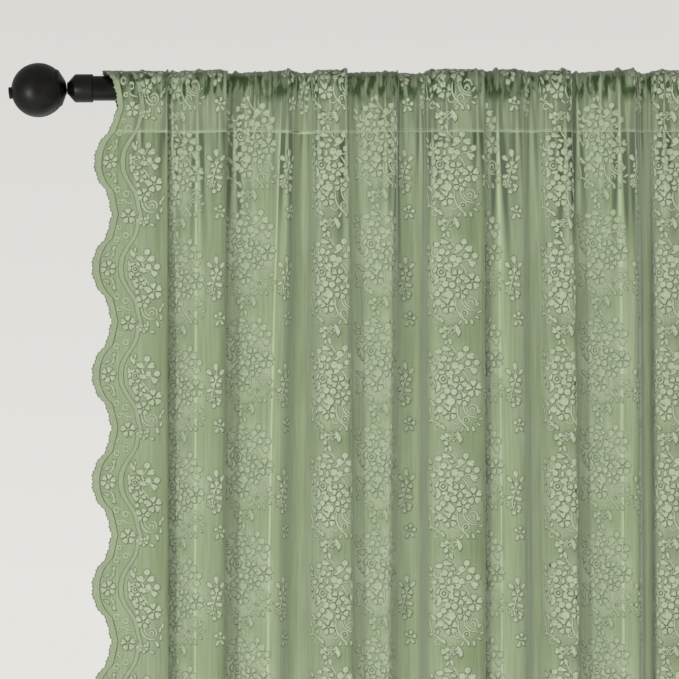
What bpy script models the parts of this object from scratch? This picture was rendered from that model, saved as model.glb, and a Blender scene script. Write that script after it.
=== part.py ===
"""Lace curtain gathered on a rod with ball finials.

Metres, +Z up. The origin is on the rod's axis at mid-length, +X runs along the rod and +Y points at the wall.
The curtain is one length of lace: its top is turned to the back and sewn down as a pocket that the rod goes
through, and both side edges are woven in scallops.
"""

import math

import bmesh
import bpy
import numpy as np
from mathutils import Vector
from mathutils.geometry import delaunay_2d_cdt

# Rod and finials
ROD_DIAMETER = 0.0254
ROD_WALL = 0.0012
ROD_FACETS = 32
COLLAR_DIAMETER = 0.0289
COLLAR_LENGTH = 0.0263
COLLAR_SHOULDER = 0.0076
COLLAR_SOCKET = 0.0170
COLLAR_END = 0.3672
NECK_RADIUS = 0.0062
NECK_RISE = 0.0012
BALL_DIAMETER = 0.0558
BALL_DROOP = math.radians(6.0)
FLANGE_RADIUS = 0.0194
FLANGE_REACH = 0.0205
FLANGE_STEP = 0.0010
CONE_TIP = 0.0288
BOSS_RADIUS = 0.0060
BOSS_HEIGHT = 0.0024
FIT = 0.0003

# Cloth
FLAT_WIDTH = 1.320
HUNG_WIDTH = 0.736
DROP = 2.118
CLOTH = 0.0012
SEAM_DEPTH = 0.046
REST_RADIUS = ROD_DIAMETER / 2 + 0.0018
SEAM_PLANE = -0.005
VALLEY_PLANE = 0.014
SETTLE_DEPTH = 0.260
HEADING_GATHER = 0.42
CREST_GATHER = 0.22
BACK_GATHER = 0.30
LEAN_DEPTH = 0.45

# Scalloped side edges
SCALLOP_PITCH = 0.109
FIRST_LOBE = 0.0755
LOBE_RADIUS = 0.040
LOBE_HALF = 0.030
CUSP_INSET = 0.0198
BORDER_STRIP = 0.038
BORDER_LINE = 0.028

# Plan of the folds at the rod, from the left edge: each row is the flat of one crest or valley.
# start, end: its two sides in mm; back: how far it lies behind the foremost fold in mm;
# lean: how far it wanders to the right in mm as the cloth falls. Some valleys lie hidden behind the crest before.
FOLD_COLUMNS = ("start", "end", "back", "lean")
FOLDS = (
    (0, 42, 11, 0),
    (54, 78, 11, 2),
    (62, 68, 34, 4),
    (108, 138, 6, -2),
    (132, 140, 30, -6),
    (190, 206, 9, -20),
    (214, 224, 28, -14),
    (232, 262, 5, 8),
    (240, 248, 31, 9),
    (304, 311, 12, -8),
    (318, 338, 33, -4),
    (348, 401, 1, 2),
    (372, 380, 34, 4),
    (415, 438, 0, 6),
    (446, 456, 18, 6),
    (464, 490, 7, 12),
    (468, 476, 38, 12),
    (538, 554, 0, 8),
    (561, 570, 29, 6),
    (577, 606, 9, 4),
    (584, 592, 24, 4),
    (646, 658, 4, 4),
    (640, 646, 28, 4),
    (690, 736, 7, 0),
)
STEPS_ON_FLAT = 2
STEPS_ON_WALL = 3

# Rows of the mesh: depth below the rod's axis on the front, and turns round the rod in degrees from its top
BODY_ROWS = (0.020, SEAM_DEPTH, 0.080, 0.130, 0.200, 0.320, 0.520, 0.800, 1.150, 1.600, DROP)
FLAP_ROWS = (0.020,)
ROD_TURNS = (-90, -60, -30, 0, 30, 60, 90)


def material(name, colour, roughness, metallic=0.0):
    made = bpy.data.materials.new(name)
    made.use_nodes = True
    shader = made.node_tree.nodes["Principled BSDF"]
    shader.inputs["Base Color"].default_value = (*colour, 1.0)
    shader.inputs["Roughness"].default_value = roughness
    shader.inputs["Metallic"].default_value = metallic
    made.diffuse_color = (*colour, 1.0)
    return made


def add_object(name, mesh, surface, collection):
    made = bpy.data.objects.new(name, mesh)
    mesh.materials.append(surface)
    collection.objects.link(made)
    return made


def turned(name, profile, surface, collection):
    """A turned piece on local Z. The profile lists (radius, height); a tube's closes on itself."""
    mesh = bpy.data.meshes.new(name)
    edges = [(i, i + 1) for i in range(len(profile) - 1)]
    ring = profile[0][0] > 0
    if ring:
        edges.append((len(profile) - 1, 0))
    mesh.from_pydata([(radius, 0.0, height) for radius, height in profile], edges, [])
    made = add_object(name, mesh, surface, collection)
    screw = made.modifiers.new("turn", "SCREW")
    screw.steps = ROD_FACETS
    screw.render_steps = ROD_FACETS
    screw.use_merge_vertices = True
    screw.merge_threshold = 0.00001
    screw.use_normal_calculate = True
    screw.use_normal_flip = ring
    return made


# ---- the plan of the folds -------------------------------------------------------------------------------


def fold_points(depth):
    """Corner points of the folds at a depth below the rod, in metres: x from the left edge, y behind the front."""
    wander = 1.0 - math.exp(-max(depth, 0.0) / LEAN_DEPTH)
    points = []
    for row in FOLDS:
        fold = dict(zip(FOLD_COLUMNS, row))
        for side in ("start", "end"):
            points.append((fold[side] + fold["lean"] * wander, fold["back"]))
    return np.array(points) / 1000


def smooth_line(points):
    """A Catmull-Rom curve through the points, with more steps on the folds' walls than on their flats."""
    padded = np.vstack([2 * points[0] - points[1], points, 2 * points[-1] - points[-2]])
    line = []
    for i in range(len(points) - 1):
        steps = STEPS_ON_WALL if i % 2 else STEPS_ON_FLAT
        p0, p1, p2, p3 = padded[i : i + 4]
        for step in range(steps):
            t = step / steps
            line.append(
                p1
                + 0.5 * t * (p2 - p0)
                + 0.5 * t**2 * (2 * p0 - 5 * p1 + 4 * p2 - p3)
                + 0.5 * t**3 * (3 * p1 - p0 - 3 * p2 + p3)
            )
    line.append(points[-1])
    return np.array(line)


def lengths_along(line):
    return np.concatenate([[0.0], np.cumsum(np.hypot(*np.diff(line, axis=0).T))])


def fold_depth_scale():
    """How much deeper than the table the folds must be for the cloth between the edges to be FLAT_WIDTH."""
    low, high = 0.5, 2.0
    for _ in range(40):
        middle = (low + high) / 2
        line = smooth_line(fold_points(0.0) * (1.0, middle))
        if lengths_along(line)[-1] < FLAT_WIDTH:
            low = middle
        else:
            high = middle
    return middle


DEPTH_SCALE = fold_depth_scale()
HEADING_PLAN = smooth_line(fold_points(0.0) * (1.0, DEPTH_SCALE))
COLUMNS = lengths_along(HEADING_PLAN)
DEEPEST = HEADING_PLAN[:, 1].max()


def folded(across, depth):
    """(x, forward) of the flat position `across`: forward is how far it stands out from the deepest valley."""
    line = smooth_line(fold_points(depth) * (1.0, DEPTH_SCALE))
    along = lengths_along(line)
    along *= FLAT_WIDTH / along[-1]
    x = np.interp(across, along, line[:, 0]) - HUNG_WIDTH / 2
    forward = DEEPEST - np.interp(across, along, line[:, 1])
    return x, forward


# ---- the fall of the cloth -------------------------------------------------------------------------------


def smoothstep(value):
    value = min(max(value, 0.0), 1.0)
    return value * value * (3.0 - 2.0 * value)


def mix(first, second, share):
    return first + (second - first) * share


def front_y(forward, depth):
    """Where the front of the cloth lies: close against the rod, through the seam's plane, then in full folds."""
    if depth < SEAM_DEPTH:
        plane = mix(-REST_RADIUS, SEAM_PLANE, smoothstep(depth / SEAM_DEPTH))
    else:
        plane = mix(SEAM_PLANE, VALLEY_PLANE, smoothstep((depth - SEAM_DEPTH) / (SETTLE_DEPTH - SEAM_DEPTH)))
    gather = mix(HEADING_GATHER, 1.0, smoothstep(depth / SETTLE_DEPTH))
    return plane - forward * gather


def front_point(across, depth):
    x, forward = folded(across, depth)
    return x, front_y(forward, depth), -depth


def over_rod_point(across, turn):
    """A point of the pocket where it goes over the rod, `turn` radians from the top, positive at the front."""
    x, forward = folded(across, 0.0)
    side = HEADING_GATHER if turn > 0 else BACK_GATHER
    reach = REST_RADIUS + forward * mix(CREST_GATHER, side, math.sin(turn) ** 2)
    return x, -reach * math.sin(turn), reach * math.cos(turn)


def flap_point(across, depth):
    """A point of the turned-down flap behind the rod, which comes forward to the seam."""
    x, forward = folded(across, depth)
    share = (depth / SEAM_DEPTH) ** 1.6
    back = REST_RADIUS + forward * BACK_GATHER
    return x, mix(back, front_y(forward, SEAM_DEPTH), share), -depth


def edge_inset(height):
    """How far the woven edge lies inside the lobes' outermost line at a height above the rod's axis."""
    offset = (height + FIRST_LOBE + SCALLOP_PITCH / 2) % SCALLOP_PITCH - SCALLOP_PITCH / 2
    offset = abs(offset)
    lobe_inset = LOBE_RADIUS - math.sqrt(LOBE_RADIUS**2 - min(offset, LOBE_HALF) ** 2)
    run = max(offset - LOBE_HALF, 0.0) / (SCALLOP_PITCH / 2 - LOBE_HALF)
    return round(mix(lobe_inset, CUSP_INSET, run**0.85), 6)


def edge_depths(top, bottom):
    """Depths between two rows at which the scalloped edge needs a point of its own."""
    corners = (0.0, 0.011, 0.021, LOBE_HALF, 0.042, SCALLOP_PITCH / 2)
    first = int((top - FIRST_LOBE) / SCALLOP_PITCH) - 1
    last = int((bottom - FIRST_LOBE) / SCALLOP_PITCH) + 1
    depths = set()
    for lobe in range(first, last + 1):
        for corner in corners:
            for side in (-corner, corner):
                depths.add(round(FIRST_LOBE + lobe * SCALLOP_PITCH + side, 5))
    clear = 0.004
    return [depth for depth in sorted(depths) if top + clear < depth < bottom - clear]


# ---- the curtain -----------------------------------------------------------------------------------------


def cloth_rows():
    """The rows of the cloth, from the seam up the back, over the rod and down the front: (place, position)."""
    rows = [("front", SEAM_DEPTH)]
    rows += [("flap", depth) for depth in FLAP_ROWS]
    rows += [("rod", math.radians(turn)) for turn in ROD_TURNS]
    rows += [("front", depth) for depth in BODY_ROWS]
    return rows


def row_point(row, across):
    place, position = row
    find = {"front": front_point, "flap": flap_point, "rod": over_rod_point}[place]
    return find(across, position)


def row_height(row):
    place, position = row
    return REST_RADIUS * math.cos(position) if place == "rod" else -position


def fill_border(mesh, corners, edge, sign):
    """Fills one stretch of border between the grid's last column and the scalloped edge, flat and then hung.

    corners: the four grid vertices, each with its flat position: outer then inside on the upper row, inside then
    outer on the lower one. edge: the depths of the points between the two outer corners.
    """
    flat = [position for _, position in corners]
    flat += [(edge_inset(-depth), depth) for depth in reversed(edge)]
    loop = list(range(len(flat)))
    flat += [(BORDER_LINE, depth) for depth in edge if edge_inset(-depth) in (0.0, CUSP_INSET)]
    vertices = [vertex for vertex, _ in corners]
    for number in range(len(corners), len(flat)):
        across, depth = flat[number]
        if sign < 0:
            across = FLAT_WIDTH - across
            flat[number] = (across, depth)
        vertices.append(mesh.verts.new(front_point(across, depth)))
    points = [Vector((across, -depth)) for across, depth in flat]
    filled = delaunay_2d_cdt(points, [], [loop], 1, 1e-7)
    for face in filled[2]:
        mesh.faces.new([vertices[filled[3][index][0]] for index in reversed(face)])


def cloth_sheet():
    """The open middle surface. Its first row is the seam, where the flap joins the front in one edge."""
    mesh = bmesh.new()
    rows = cloth_rows()
    inner = [across for across in COLUMNS if BORDER_STRIP < across < FLAT_WIDTH - BORDER_STRIP]
    grid = []
    flat = []
    for row in rows:
        inset = edge_inset(row_height(row))
        flat.append([inset, *inner, FLAT_WIDTH - inset])
        grid.append([mesh.verts.new(row_point(row, across)) for across in flat[-1]])
    for index in range(len(rows) - 1):
        upper, lower = grid[index], grid[index + 1]
        top, bottom = rows[index], rows[index + 1]
        on_front = top[0] == bottom[0] == "front"
        first = 1 if on_front else 0
        for column in range(first, len(upper) - 1 - first):
            mesh.faces.new((upper[column], upper[column + 1], lower[column + 1], lower[column]))
        if not on_front:
            continue
        for outer, inside, sign in ((0, 1, 1), (-1, -2, -1)):
            corners = [
                (upper[outer], (flat[index][outer], top[1])),
                (upper[inside], (flat[index][inside], top[1])),
                (lower[inside], (flat[index][inside], bottom[1])),
                (lower[outer], (flat[index + 1][outer], bottom[1])),
            ]
            fill_border(mesh, corners, edge_depths(top[1], bottom[1]), sign)
    bmesh.ops.triangulate(mesh, faces=mesh.faces)
    bmesh.ops.remove_doubles(mesh, verts=mesh.verts, dist=0.00002)
    sheet = bpy.data.meshes.new("lace_panel")
    mesh.to_mesh(sheet)
    mesh.free()
    return sheet


def make_curtain(collection):
    lace = material("sage lace", (0.30, 0.36, 0.23), 0.85)
    panel = add_object("lace_panel", cloth_sheet(), lace, collection)
    body = panel.modifiers.new("cloth", "SOLIDIFY")
    body.solidify_mode = "NON_MANIFOLD"
    body.nonmanifold_thickness_mode = "FIXED"
    body.nonmanifold_boundary_mode = "NONE"
    body.thickness = CLOTH
    body.offset = 0.0


# ---- the rod and its finials -----------------------------------------------------------------------------


def make_rod(collection, metal):
    """A tube whose ends stand in the sockets of the two collars."""
    half = COLLAR_END + COLLAR_SOCKET - 2 * FIT
    outer = ROD_DIAMETER / 2
    inner = outer - ROD_WALL
    rod = turned("rod", [(outer, -half), (outer, half), (inner, half), (inner, -half)], metal, collection)
    rod.rotation_euler = (0.0, math.pi / 2, 0.0)


def make_collar(name, side, collection, metal):
    """The sleeve on the rod's end, its shoulder and the neck that carries the ball. Height runs outwards."""
    outer = COLLAR_DIAMETER / 2
    bore = ROD_DIAMETER / 2 + FIT
    profile = [
        (0.0, COLLAR_LENGTH),
        (NECK_RADIUS, COLLAR_LENGTH),
        (NECK_RADIUS, COLLAR_LENGTH - 0.0008),
        (outer - 0.0006, COLLAR_LENGTH - COLLAR_SHOULDER),
        (outer, COLLAR_LENGTH - COLLAR_SHOULDER - 0.0012),
        (outer, 0.0004),
        (outer - 0.0004, 0.0),
        (bore, 0.0),
        (bore, COLLAR_SOCKET),
        (0.0, COLLAR_SOCKET),
    ]
    collar = turned(name, profile, metal, collection)
    collar.rotation_euler = (0.0, side * math.pi / 2, 0.0)
    collar.location = (side * COLLAR_END, 0.0, 0.0)


def make_ball(name, side, collection, metal):
    """The ball with its end boss, flange ring and cone. Local height runs outwards from the ball's centre."""
    radius = BALL_DIAMETER / 2
    start = math.asin(BOSS_RADIUS / radius)
    end = math.pi - math.asin((FLANGE_RADIUS - FLANGE_STEP) / radius)
    arc = [start + (end - start) * step / 14 for step in range(15)]
    profile = [(0.0, radius + BOSS_HEIGHT), (BOSS_RADIUS, radius + BOSS_HEIGHT)]
    profile += [(radius * math.sin(angle), radius * math.cos(angle)) for angle in arc]
    profile += [
        (FLANGE_RADIUS, -FLANGE_REACH),
        (FLANGE_RADIUS - 0.0012, -FLANGE_REACH - 0.0020),
        (NECK_RADIUS + 0.0006, -CONE_TIP + 0.0006),
        (NECK_RADIUS - 0.0016, -CONE_TIP),
        (0.0, -CONE_TIP),
    ]
    ball = turned(name, profile, metal, collection)
    neck = COLLAR_END + COLLAR_LENGTH + FIT + NECK_RADIUS * math.sin(BALL_DROOP)
    ball.rotation_euler = (0.0, side * (math.pi / 2 + BALL_DROOP), 0.0)
    ball.location = (
        side * (neck + CONE_TIP * math.cos(BALL_DROOP)),
        0.0,
        NECK_RISE - CONE_TIP * math.sin(BALL_DROOP),
    )


def main():
    for made in list(bpy.data.objects):
        bpy.data.objects.remove(made, do_unlink=True)
    collection = bpy.data.collections.new("lace curtain on a rod")
    bpy.context.scene.collection.children.link(collection)
    metal = material("black-bronze paint", (0.018, 0.017, 0.013), 0.38, 0.6)
    make_curtain(collection)
    make_rod(collection, metal)
    for word, side in (("left", -1), ("right", 1)):
        make_collar(f"finial_collar_{word}", side, collection, metal)
        make_ball(f"finial_ball_{word}", side, collection, metal)


main()
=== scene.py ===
import math

import bpy
import numpy as np
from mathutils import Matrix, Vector


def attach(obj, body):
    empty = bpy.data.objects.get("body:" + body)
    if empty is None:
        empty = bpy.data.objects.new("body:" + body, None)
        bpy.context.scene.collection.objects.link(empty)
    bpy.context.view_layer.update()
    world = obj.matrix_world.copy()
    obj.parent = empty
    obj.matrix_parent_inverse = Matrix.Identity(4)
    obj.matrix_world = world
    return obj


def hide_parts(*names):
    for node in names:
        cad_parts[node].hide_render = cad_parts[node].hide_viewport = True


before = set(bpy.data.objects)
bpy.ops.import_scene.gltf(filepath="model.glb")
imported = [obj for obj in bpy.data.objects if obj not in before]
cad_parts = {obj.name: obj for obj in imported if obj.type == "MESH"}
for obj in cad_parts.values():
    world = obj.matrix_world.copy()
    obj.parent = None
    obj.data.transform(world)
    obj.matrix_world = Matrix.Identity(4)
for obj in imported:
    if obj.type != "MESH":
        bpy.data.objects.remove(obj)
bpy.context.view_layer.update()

# ---- lace ground ---------------------------------------------------------------------------------------
# The curtain is one length of warp-knitted cotton lace in sage green, turned to the back over the rod and
# sewn down as a pocket. Its ground is a dense net of fine upright wales, and it hangs in soft folds.

# Flat width, hung width, and drop from the rod's axis to the hem. Lengths are in metres unless a comment
# says mm, and +Y is away from the room.
FLAT_WIDTH = 1.320
HUNG_WIDTH = 0.736
DROP = 2.118

# Depth of the pocket's seam, and the depth where the folds reach their full size
SEAM_DEPTH = 0.046
SETTLE_DEPTH = 0.260

# The rearmost valleys: their radius over the rod, then their Y at the seam and where the folds are full
REST_RADIUS = 0.0145
SEAM_PLANE = -0.005
VALLEY_PLANE = 0.014

# Share of the folds' full size at the heading: in front of the rod, on top of it and behind it
HEADING_GATHER = 0.38
CREST_GATHER = 0.09
BACK_GATHER = 0.30

# Depth over which the folds lean to their final place, then how far the top corners are drawn in on the
# rod and how wide a strip that pull reaches
LEAN_DEPTH = 0.45
CORNER_PULL = 0.009
PULL_WIDTH = 0.09

# Scallops: pitch, depth of the first lobe's middle, radius and half height of a lobe, inset of a dip
SCALLOP_PITCH = 0.109
FIRST_LOBE = 0.0755
LOBE_RADIUS = 0.040
LOBE_HALF = 0.030
CUSP_INSET = 0.0198

# Plan of the folds at the rod, from the left edge: the two sides of each crest or valley, how far it lies
# behind the foremost fold, and how far it wanders to the right as the cloth falls. All in mm.
FOLDS = (
    (0, 42, 11, 0),
    (54, 78, 11, 2),
    (62, 68, 34, 4),
    (108, 138, 6, -2),
    (132, 140, 30, -6),
    (190, 206, 9, -20),
    (214, 224, 28, -14),
    (232, 262, 5, 8),
    (240, 248, 31, 9),
    (304, 311, 12, -8),
    (318, 338, 33, -4),
    (348, 401, 1, 2),
    (372, 380, 34, 4),
    (415, 438, 0, 6),
    (446, 456, 18, 6),
    (464, 490, 7, 12),
    (468, 476, 38, 12),
    (538, 554, 0, 8),
    (561, 570, 29, 6),
    (577, 606, 9, 4),
    (584, 592, 24, 4),
    (646, 658, 4, 4),
    (640, 646, 28, 4),
    (690, 736, 7, 0),
)


def mix(first, second, share):
    """The value that lies at `share` of the way from first to second."""
    return first + (second - first) * share


def smoothstep(value):
    """0 below 0, 1 above 1, and a smooth rise between them."""
    value = np.clip(value, 0.0, 1.0)
    return value * value * (3.0 - 2.0 * value)


def curve_through(points, steps):
    """A Catmull-Rom curve through the points, with this many steps between each two."""
    padded = np.vstack([2 * points[0] - points[1], points, 2 * points[-1] - points[-2]])
    t = np.linspace(0.0, 1.0, steps + 1)[:-1, None]
    curve = []
    for p0, p1, p2, p3 in zip(padded, padded[1:], padded[2:], padded[3:]):
        bend = 2 * p0 - 5 * p1 + 4 * p2 - p3
        twist = 3 * p1 - p0 - 3 * p2 + p3
        curve.append(p1 + 0.5 * t * (p2 - p0) + 0.5 * t**2 * bend + 0.5 * t**3 * twist)
    curve.append(points[-1:])
    return np.vstack(curve)


PLAN_STEPS = 8


def plan_line(depth, scale):
    """The plan of the cloth at a depth: a smooth curve through the folds' corners."""
    wander = 1.0 - math.exp(-max(depth, 0.0) / LEAN_DEPTH)
    corners = [(row[side] + row[3] * wander, row[2] * scale) for row in FOLDS for side in (0, 1)]
    return curve_through(np.array(corners) / 1000, PLAN_STEPS)


def lengths_along(line):
    """The length of a line of points from its start to each of them."""
    return np.concatenate([[0.0], np.cumsum(np.hypot(*np.diff(line, axis=0).T))])


def fold_depth_scale():
    """How much deeper than the table the folds must be for the cloth between the edges to be FLAT_WIDTH."""
    low, high = 0.5, 2.0
    for _ in range(30):
        middle = (low + high) / 2
        if lengths_along(plan_line(0.0, middle))[-1] < FLAT_WIDTH:
            low = middle
        else:
            high = middle
    return middle


DEPTH_SCALE = fold_depth_scale()
DEEPEST = plan_line(0.0, DEPTH_SCALE)[:, 1].max()

# Flat positions across the cloth, one each millimetre
ACROSS = np.linspace(0.0, FLAT_WIDTH, 1321)

# Creases that the pocket's gathers pinch into the cloth: flat position, height, half width and reach down
# in mm
PINCHES = (
    (20, 1.7, 2.6, 70),
    (47, 2.2, 3.0, 90),
    (78, 3.8, 3.0, 80),
    (108, 1.8, 2.4, 70),
    (135, 4.5, 3.2, 125),
    (150, 1.7, 2.2, 70),
    (167, 4.0, 2.6, 115),
    (190, 1.8, 2.4, 80),
    (207, 2.4, 2.4, 90),
    (240, 4.8, 3.0, 140),
    (262, 2.0, 2.2, 80),
    (279, 1.5, 2.4, 70),
    (298, 4.6, 3.0, 125),
    (329, 2.2, 2.4, 80),
    (359, 2.0, 2.2, 90),
    (388, 4.8, 3.2, 140),
    (432, 2.2, 2.6, 90),
    (468, 2.0, 2.4, 70),
    (492, 2.6, 2.6, 105),
    (512, 5.2, 3.6, 150),
    (547, 2.4, 2.4, 90),
    (568, 1.7, 2.2, 70),
    (582, 3.5, 2.6, 115),
    (598, 1.8, 2.2, 70),
    (629, 2.6, 2.6, 105),
    (668, 2.2, 2.6, 80),
    (704, 2.4, 3.0, 90),
    (742, 5.5, 3.8, 160),
    (763, 2.2, 2.4, 80),
    (790, 2.4, 2.6, 90),
    (812, 1.5, 2.2, 70),
    (831, 5.0, 3.4, 150),
    (872, 2.4, 3.0, 80),
    (915, 4.0, 3.0, 125),
    (942, 2.0, 2.2, 70),
    (964, 5.5, 3.6, 150),
    (983, 4.5, 3.2, 140),
    (1010, 2.1, 2.4, 80),
    (1052, 4.0, 3.0, 115),
    (1084, 2.2, 2.6, 90),
    (1133, 4.5, 3.0, 140),
    (1156, 1.8, 2.4, 70),
    (1190, 2.6, 2.8, 105),
    (1243, 4.2, 3.0, 125),
    (1268, 2.0, 2.6, 80),
    (1298, 1.8, 2.6, 70),
)


def pinched(depth):
    """Height of the pinch creases over the cloth at a depth, with the slight dip at either side of each."""
    total = np.zeros_like(ACROSS)
    for middle, strength, half, reach in PINCHES:
        fallen = max(depth, 0.0) * 1000 / reach
        away = ((ACROSS * 1000 - middle) / (half * (0.8 + 1.5 * fallen))) ** 2
        total += strength * math.exp(-(fallen**1.6)) * (np.exp(-away) - 0.35 * np.exp(-away / 5.0))
    ruffled = np.sin(ACROSS * 690.0) * np.sin(ACROSS * 143.0 + 1.0)
    ruffled += 0.6 * np.sin(ACROSS * 1130.0 + 2.0)
    return (total + 0.45 * ruffled * math.exp(-max(depth, 0.0) / 0.03)) / 1000


def eased(depth):
    """Slow unevenness of the hanging folds: no two stretches of a fold stand out alike."""
    wave = np.sin(ACROSS * 31.0 + depth * 2.3) * np.sin(depth * 5.1 + ACROSS * 11.0)
    slow = np.sin(ACROSS * 57.0 - depth * 3.7 + 1.3) * np.sin(depth * 7.7 + 0.6)
    return (0.0016 * wave + 0.0009 * slow) * smoothstep((depth - 0.1) / 0.5)


def cloth_row(place, position):
    """Positions of one row of the cloth: on the flap, over the rod (at a turn in radians) or on the front."""
    depth = position if place == "front" else 0.0
    line = plan_line(depth, DEPTH_SCALE)
    along = lengths_along(line)
    along *= FLAT_WIDTH / along[-1]
    x = np.interp(ACROSS, along, line[:, 0]) - HUNG_WIDTH / 2
    low = 0.0 if place == "rod" else position
    drawn_in = 1.0 - 0.5 * smoothstep((low - 0.004) / 0.045) - 0.5 * smoothstep(low / 0.16)
    near_left = smoothstep(1.0 - ACROSS / PULL_WIDTH)
    near_right = smoothstep((ACROSS - FLAT_WIDTH) / PULL_WIDTH + 1.0)
    x += CORNER_PULL * drawn_in * (near_left - near_right)
    forward = DEEPEST - np.interp(ACROSS, along, line[:, 1])
    gather = mix(HEADING_GATHER, 1.0, smoothstep(position / SETTLE_DEPTH))
    to_seam = mix(-REST_RADIUS, SEAM_PLANE, smoothstep(position / SEAM_DEPTH))
    settled = smoothstep((position - SEAM_DEPTH) / (SETTLE_DEPTH - SEAM_DEPTH))
    if place == "front":
        plane = to_seam if position < SEAM_DEPTH else mix(SEAM_PLANE, VALLEY_PLANE, settled)
        y = plane - forward * gather - pinched(position) - eased(position)
        return np.stack([x, y, np.full_like(x, -position)], axis=1)
    if place == "rod":
        side = HEADING_GATHER if position > 0 else BACK_GATHER
        reach = REST_RADIUS + forward * mix(CREST_GATHER, side, math.sin(position) ** 2) + pinched(0.0)
        return np.stack([x, -reach * math.sin(position), reach * math.cos(position)], axis=1)
    at_seam = SEAM_PLANE - forward * mix(HEADING_GATHER, 1.0, smoothstep(SEAM_DEPTH / SETTLE_DEPTH))
    y = mix(REST_RADIUS + forward * BACK_GATHER, at_seam, (position / SEAM_DEPTH) ** 1.6)
    return np.stack([x, y, np.full_like(x, -position)], axis=1)


def edge_inset(depth):
    """How far the woven edge lies inside the lobes' outermost line at a depth below the rod's axis."""
    offset = np.abs((FIRST_LOBE - depth + SCALLOP_PITCH / 2) % SCALLOP_PITCH - SCALLOP_PITCH / 2)
    lobe = LOBE_RADIUS - np.sqrt(LOBE_RADIUS**2 - np.minimum(offset, LOBE_HALF) ** 2)
    run = np.maximum(offset - LOBE_HALF, 0.0) / (SCALLOP_PITCH / 2 - LOBE_HALF)
    return mix(lobe, CUSP_INSET, run**0.85)


def new_object(name, points, faces, uvs=None, smooth=False):
    """A mesh object at the origin; uvs holds one (u, v) in metres for each vertex."""
    mesh = bpy.data.meshes.new(name)
    mesh.from_pydata(np.asarray(points, float).tolist(), [], [list(map(int, face)) for face in faces])
    if uvs is not None:
        layer = mesh.uv_layers.new(name="flat")
        loops = np.empty(len(mesh.loops), np.int32)
        mesh.loops.foreach_get("vertex_index", loops)
        layer.data.foreach_set("uv", np.asarray(uvs, np.float32)[loops].ravel())
    mesh.polygons.foreach_set("use_smooth", [smooth] * len(mesh.polygons))
    mesh.update()
    made = bpy.data.objects.new(name, mesh)
    bpy.context.scene.collection.objects.link(made)
    return made


# Columns of the net's mesh: as shares of the strip at each side edge, then even ones between the two
# strips, doubled down to FINE_TO. The net stops EDGE_FOLD inside the scallops, under the close-woven band.
BORDER_STRIP = 0.038
EDGE_SHARES = np.array([0.0, 0.12, 0.3, 0.5, 0.75, 1.0])
INNER_COLUMNS = 300
FINE_TO = 0.2
EDGE_FOLD = 0.003

# Mean radius of the cloth over the rod, and the flat length from the rod's front round to the flap's end
OVER_ROD = 0.0175

# Bouquets: size of the repeat, then the flat position and height of the top one of the first column, of the
# second and of the column between them, which hangs half a repeat lower
REPEAT_ACROSS = 0.228
REPEAT_DOWN = SCALLOP_PITCH
FIRST_BOUQUET = (0.145, 0.0217)
SECOND_BOUQUET = (FIRST_BOUQUET[0] + REPEAT_ACROSS, FIRST_BOUQUET[1])
HALF_DROP = (0.259, -0.0579)

# Half width and half height of a bouquet, and the strip at each side edge that holds none
BOUQUET_HALF = (0.030, 0.046)
SIDE_STRIP = 0.07


def near_bouquet(across, height):
    """1 in a woven bouquet, where pale yarn also runs between the figures, falling to 0 outside it."""
    total = np.zeros_like(across)
    for first in (FIRST_BOUQUET, HALF_DROP):
        dx = (across - first[0] + REPEAT_ACROSS / 2) % REPEAT_ACROSS - REPEAT_ACROSS / 2
        dy = (height - first[1] + REPEAT_DOWN / 2) % REPEAT_DOWN - REPEAT_DOWN / 2
        out = np.hypot(dx / BOUQUET_HALF[0], dy / BOUQUET_HALF[1])
        total = np.maximum(total, 1.0 - smoothstep((out - 0.75) / 0.4))
    return total * ((across > SIDE_STRIP) & (across < FLAT_WIDTH - SIDE_STRIP))


def cloth_rows():
    """Every row of the cloth's mesh from the seam up the back, over the rod and down the front to the hem.

    Each is (place, position, fallen): fallen is the length of cloth from the top of the rod down to the row.
    """
    rows = [("flap", depth, -math.pi * OVER_ROD - depth) for depth in (SEAM_DEPTH, 0.034, 0.022, 0.010)]
    quarter = OVER_ROD * math.pi / 2
    rows += [("rod", math.radians(turn), (turn / 90 - 1) * quarter) for turn in range(-90, 90, 15)]
    step = SCALLOP_PITCH / 12
    below = [FIRST_LOBE + step * number for number in range(-2, 228)]
    below = [depth for depth in below if depth < DROP - 0.003]
    depths = [*np.linspace(0.0, SEAM_DEPTH, 9), *below, DROP]
    return rows + [("front", depth, depth) for depth in depths]


def cloth_faces(widths):
    """Faces between rows with these numbers of points; a row may have twice the columns of the next."""
    faces, start = [], 0
    for wide, below in zip(widths, widths[1:]):
        after = start + wide
        if wide == below:
            faces += [(at, at + wide, at + wide + 1, at + 1) for at in range(start, after - 1)]
        else:
            faces += [
                (start + 2 * at, after + at, after + at + 1, start + 2 * at + 2, start + 2 * at + 1)
                for at in range(below - 1)
            ]
        start = after
    return faces


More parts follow.
